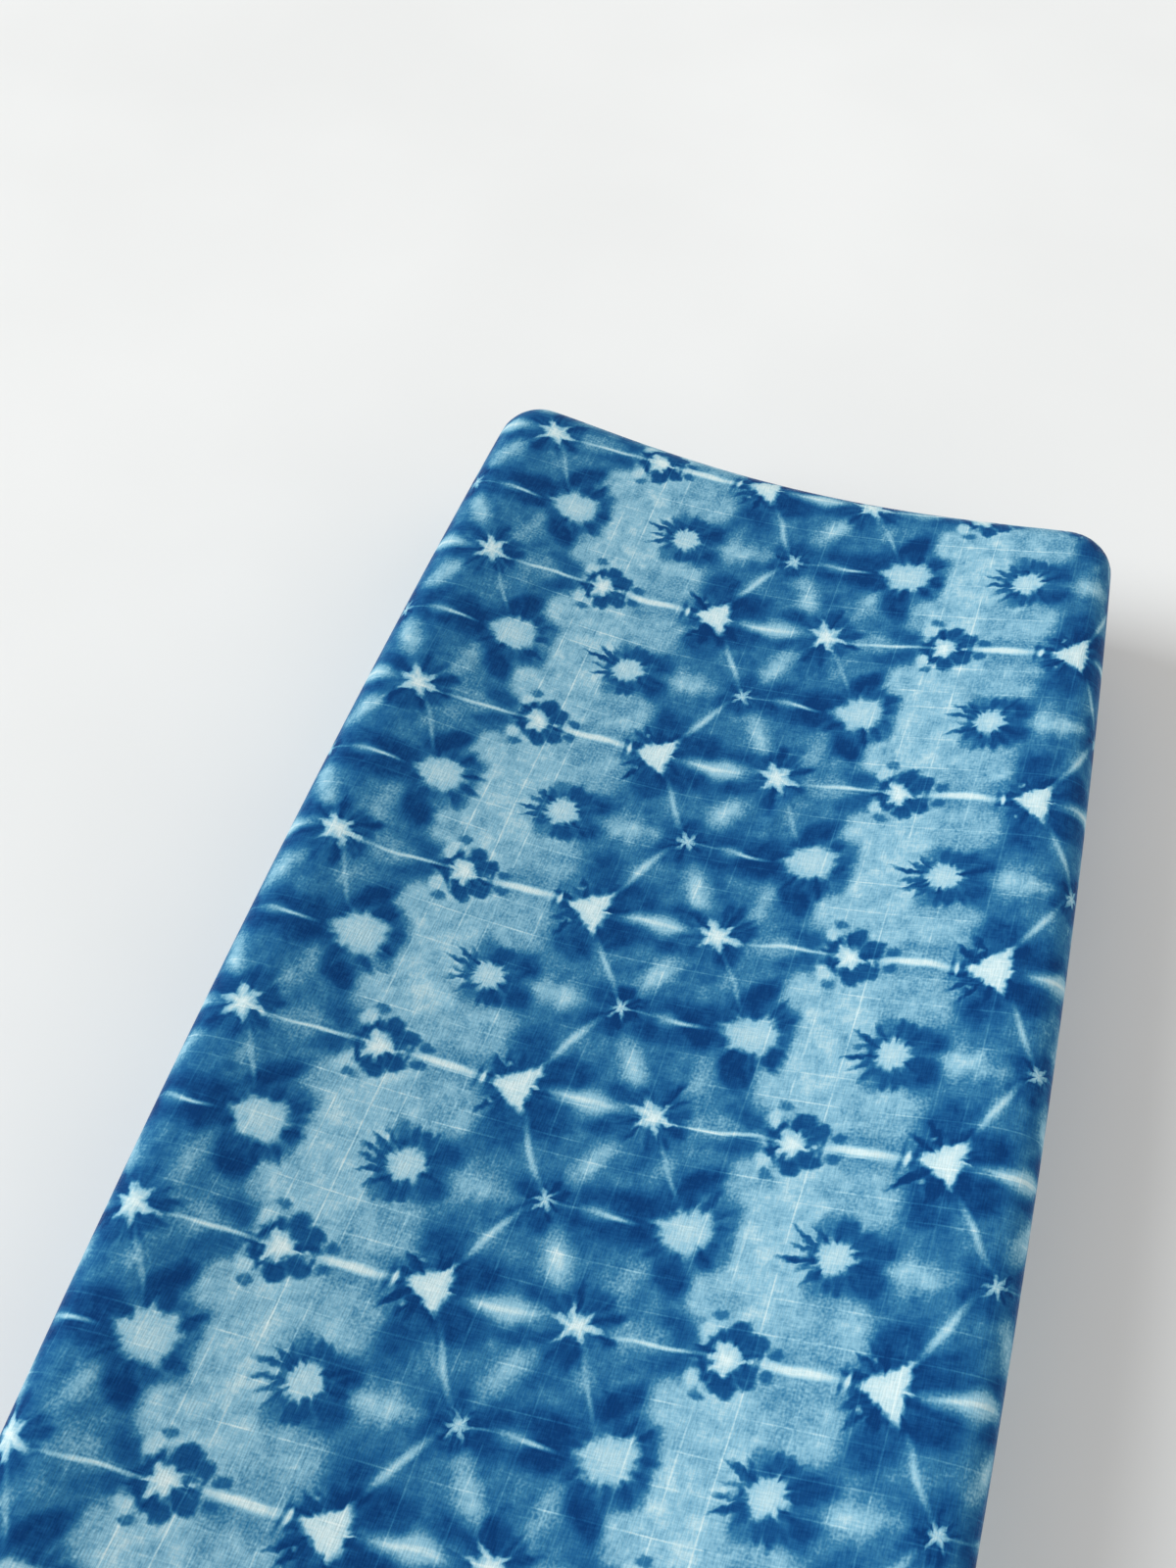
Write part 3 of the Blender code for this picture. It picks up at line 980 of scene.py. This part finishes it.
def thread_lines(painter, run, along, pitch, width, seed):
    """Thicker threads at uneven places along the run, that come and go along their length."""
    scaled = painter.maths("DIVIDE", run, pitch)
    index = painter.maths("FLOOR", scaled)
    settings = {"noise_dimensions": "1D"}
    chance = painter.add("ShaderNodeTexWhiteNoise", settings, {"W": painter.maths("ADD", index, seed)})
    offset, weight = painter.split(chance.outputs["Color"])
    bend = painter.noise(painter.join(along, index), 0.8, 0.0).outputs["Fac"]
    place = painter.maths("MULTIPLY_ADD", offset, 0.6, 0.2)
    place = painter.maths("MULTIPLY_ADD", bend, 0.10, place)
    away = painter.maths("SUBTRACT", painter.maths("FRACT", scaled), place)
    line = painter.fade(painter.maths("ABSOLUTE", away), 0.0, width / pitch, 1.0, 0.0)
    patches = painter.noise(painter.join(along, painter.maths("ADD", index, seed)), 2.3, 1.0)
    shown = painter.fade(patches.outputs["Fac"], 0.35, 0.62, 0.25, 1.0)
    weight = painter.maths("MULTIPLY_ADD", weight, 0.6, 0.4)
    return painter.maths("MULTIPLY", painter.maths("MULTIPLY", line, weight), shown)


def thread_grain(painter, chart, fineness, length, detail):
    """Uneven threads of both directions, about zero."""
    weft = painter.noise(painter.vector_maths("MULTIPLY", chart, (length, fineness, 1.0)), 1.0, detail)
    warp = painter.noise(painter.vector_maths("MULTIPLY", chart, (fineness, length, 1.0)), 1.0, detail)
    return painter.maths("SUBTRACT", painter.maths("ADD", weft.outputs["Fac"], warp.outputs["Fac"]), 1.0)


def sewing(painter):
    """Where the hem's stitches and the corner seams' line show."""
    hem = painter.add("ShaderNodeUVMap", {"uv_map": "hem"}, {}).outputs["UV"]
    along, rim = painter.split(hem)
    off_line = painter.maths("ABSOLUTE", painter.maths("SUBTRACT", rim, HEM_STITCH_LINE))
    line = painter.fade(off_line, STITCH_HALF_WIDTH * 0.7, STITCH_HALF_WIDTH * 1.3, 1.0, 0.0)
    share = painter.maths("FRACT", painter.maths("DIVIDE", along, STITCH_PITCH))
    off_middle = painter.maths("ABSOLUTE", painter.maths("SUBTRACT", share, 0.5))
    dash = painter.fade(off_middle, *STITCH_ENDS, 1.0, 0.0)
    stitches = painter.maths("MULTIPLY", line, dash)
    seam = painter.add("ShaderNodeUVMap", {"uv_map": "seam"}, {}).outputs["UV"]
    beside, drop = painter.split(seam)
    joined = painter.fade(beside, 0.0, SEAM_HALF_WIDTH, 0.7, 0.0)
    joined = painter.maths("MULTIPLY", joined, painter.fade(drop, SEAM_TOP, SEAM_FULL))
    return painter.maths("MAXIMUM", stitches, joined)


def make_muslin():
    """Resist-dyed cotton: the charted repeat, thicker threads, mottled dye and a weave."""
    painter = Painter("muslin_resist_dyed")
    chart = painter.add("ShaderNodeUVMap", {"uv_map": "chart"}, {}).outputs["UV"]
    drifted = wander(painter, chart, *DRIFT)
    feathered = wander(painter, drifted, *FEATHER)
    tone = painter.add("ShaderNodeAttribute", {"attribute_name": "dye_ground"}, {}).outputs["Fac"]
    mottle = painter.maths("SUBTRACT", painter.noise(feathered, *MOTTLE_NOISE).outputs["Fac"], 0.5)
    tone = painter.maths("MULTIPLY_ADD", mottle, MOTTLE_TONE, tone)
    places = chart_places(painter, feathered)
    for lies, (first, motifs) in MOTIF_ROWS.items():
        tone = paint_motifs(painter, tone, places[lies], chart, first, motifs)
    for stroke in MARKS:
        tone = paint_stroke(painter, tone, places, stroke)
    places = chart_places(painter, drifted)
    for stroke in LINES:
        tone = paint_stroke(painter, tone, places, stroke)

    speckle = painter.maths("SUBTRACT", painter.noise(chart, *SPECKLE_NOISE).outputs["Fac"], 0.5)
    verge = painter.maths("SUBTRACT", painter.fade(tone, *SPECKLE_FROM), painter.fade(tone, *SPECKLE_TO))
    tone = painter.maths("MULTIPLY_ADD", painter.maths("MULTIPLY", speckle, verge), SPECKLE_TONE, tone)
    across, away = painter.split(chart)
    thicker = painter.maths(
        "MAXIMUM",
        thread_lines(painter, across, away, *LONG_THREADS),
        thread_lines(painter, away, across, *CROSS_THREADS),
    )
    sewn = sewing(painter)
    grain = thread_grain(painter, chart, *GRAIN_NOISE)
    tone = painter.maths("MULTIPLY_ADD", grain, GRAIN_TONE, tone)
    tone = painter.maths("MULTIPLY_ADD", thicker, THREAD_TONE, tone)
    tone = painter.mix(sewn, tone, STITCH_TONE)
    colour = painter.ramp(tone, [(place, linear(blue)) for place, blue in BLUES])
    roughness = painter.maths("MULTIPLY_ADD", grain, GRAIN_ROUGHNESS, CLOTH_ROUGHNESS)
    relief = thread_grain(painter, chart, *WEAVE_NOISE)
    painter.finish(colour, roughness, relief, WEAVE_BUMP)
    for name, value in CLOTH_GLOSS.items():
        painter.put(painter.shader.inputs[name], value)
    return painter.material


def make_pad_skin():
    """Off-white wipe-clean skin with a fine pebbled grain."""
    painter = Painter("pad_wipe_clean_skin")
    place = painter.add("ShaderNodeUVMap", {"uv_map": "skin"}, {}).outputs["UV"]
    shade = painter.noise(place, 9.0, 3.0).outputs["Fac"]
    colour = painter.ramp(shade, [(0.3, (0.70, 0.69, 0.65)), (0.7, (0.76, 0.75, 0.71))])
    roughness = painter.fade(shade, 0.2, 0.8, 0.46, 0.60)
    pebbles = painter.noise(place, 700.0, 2.0).outputs["Fac"]
    painter.finish(colour, roughness, pebbles, PEBBLE_BUMP)
    return painter.material


def make_floor():
    """A pale, plain floor with a faint tooth."""
    painter = Painter("floor_pale")
    place = painter.add("ShaderNodeTexCoord", {}, {}).outputs["Object"]
    shade = painter.noise(place, 3.0, 3.0).outputs["Fac"]
    colour = painter.ramp(shade, [(0.3, (0.76, 0.76, 0.76)), (0.7, (0.79, 0.79, 0.79))])
    painter.put(painter.shader.inputs["Base Color"], colour)
    painter.put(painter.shader.inputs["Roughness"], painter.fade(shade, 0.2, 0.8, 0.80, 0.90))
    return painter.material


def build_stage():
    floor_size = 6.0
    data = bpy.data.meshes.new("floor")
    corners = [(x * floor_size, y * floor_size, 0.0) for x, y in ((-1, -1), (1, -1), (1, 1), (-1, 1))]
    data.from_pydata(corners, [], [(0, 1, 2, 3)])
    floor = bpy.data.objects.new("floor", data)
    bpy.context.scene.collection.objects.link(floor)
    data.materials.append(make_floor())


def build_lights():
    """Soft daylight from the left, a weak fill from the right and an even studio."""
    world = bpy.data.worlds.new("studio")
    world.use_nodes = True
    background = world.node_tree.nodes["Background"]
    background.inputs["Color"].default_value = (*STUDIO_COLOUR, 1.0)
    background.inputs["Strength"].default_value = STUDIO_STRENGTH
    bpy.context.scene.world = world
    for name, (comes_from, spread, strength, colour) in LIGHTS.items():
        light = bpy.data.lights.new(name, "SUN")
        light.angle = radians(spread)
        light.energy = strength
        light.color = colour
        made = bpy.data.objects.new(name, light)
        made.rotation_mode = "QUATERNION"
        made.rotation_quaternion = (-Vector(comes_from)).to_track_quat("-Z", "Y")
        bpy.context.scene.collection.objects.link(made)


def build_camera():
    """The photograph's camera: looks down along the pad from its near right."""
    azimuth, elevation, roll = CAMERA_AZIMUTH, CAMERA_ELEVATION, CAMERA_ROLL
    forward = Vector((sin(azimuth) * cos(elevation), cos(azimuth) * cos(elevation), -sin(elevation)))
    level_right = forward.cross(Vector((0, 0, 1))).normalized()
    level_down = forward.cross(level_right).normalized()
    right = cos(roll) * level_right + sin(roll) * level_down
    down = -sin(roll) * level_right + cos(roll) * level_down
    lens = bpy.data.cameras.new("camera")
    lens.sensor_width = SENSOR_MM
    lens.lens = FOCAL_PIXELS * SENSOR_MM / IMAGE_HEIGHT
    camera = bpy.data.objects.new("camera", lens)
    turned = Matrix((right, -down, -forward)).transposed().to_4x4()
    camera.matrix_world = Matrix.Translation(CAMERA_PLACE) @ turned
    bpy.context.scene.collection.objects.link(camera)
    bpy.context.scene.camera = camera


def main():
    bpy.context.scene.view_settings.view_transform = "Standard"
    build_camera()
    build_stage()
    build_lights()
    cover = build_cover(make_muslin())
    pad = build_pad(make_pad_skin())


main()
